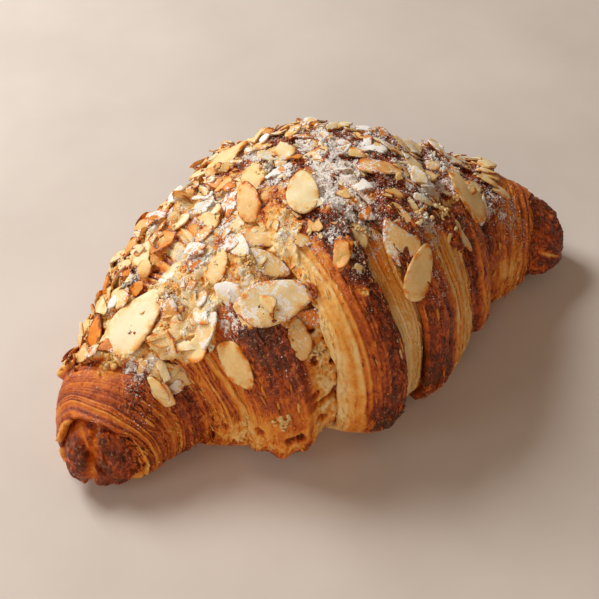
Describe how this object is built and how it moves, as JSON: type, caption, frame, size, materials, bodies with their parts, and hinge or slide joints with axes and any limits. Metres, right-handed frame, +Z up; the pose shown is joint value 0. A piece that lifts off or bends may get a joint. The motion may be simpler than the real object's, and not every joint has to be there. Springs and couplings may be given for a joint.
{
  "type": "almond croissant",
  "caption": "Baked crescent pastry of stepped, flaky wraps with a crusty topping of sliced almonds along its crest and a flat underside.",
  "frame": {"origin": "on the flat underside, under the middle of the croissant's length", "axes": "+X along the croissant from the left tip to the right tip, -Y towards the side that both tips bend to, +Z up"},
  "size_m": [0.1749, 0.0989, 0.0637],
  "materials": {
    "baked_pastry": "golden to dark brown flaky crust, slightly glossy on the darkest bands",
    "pale_dough": "pale layered dough and open crumb, matte",
    "almond": "toasted almond slice, satin",
    "icing_sugar": "dusted white powder, matte"
  },
  "bodies": {
    "root": {"croissant": "baked_pastry"}
  },
  "joints": []
}
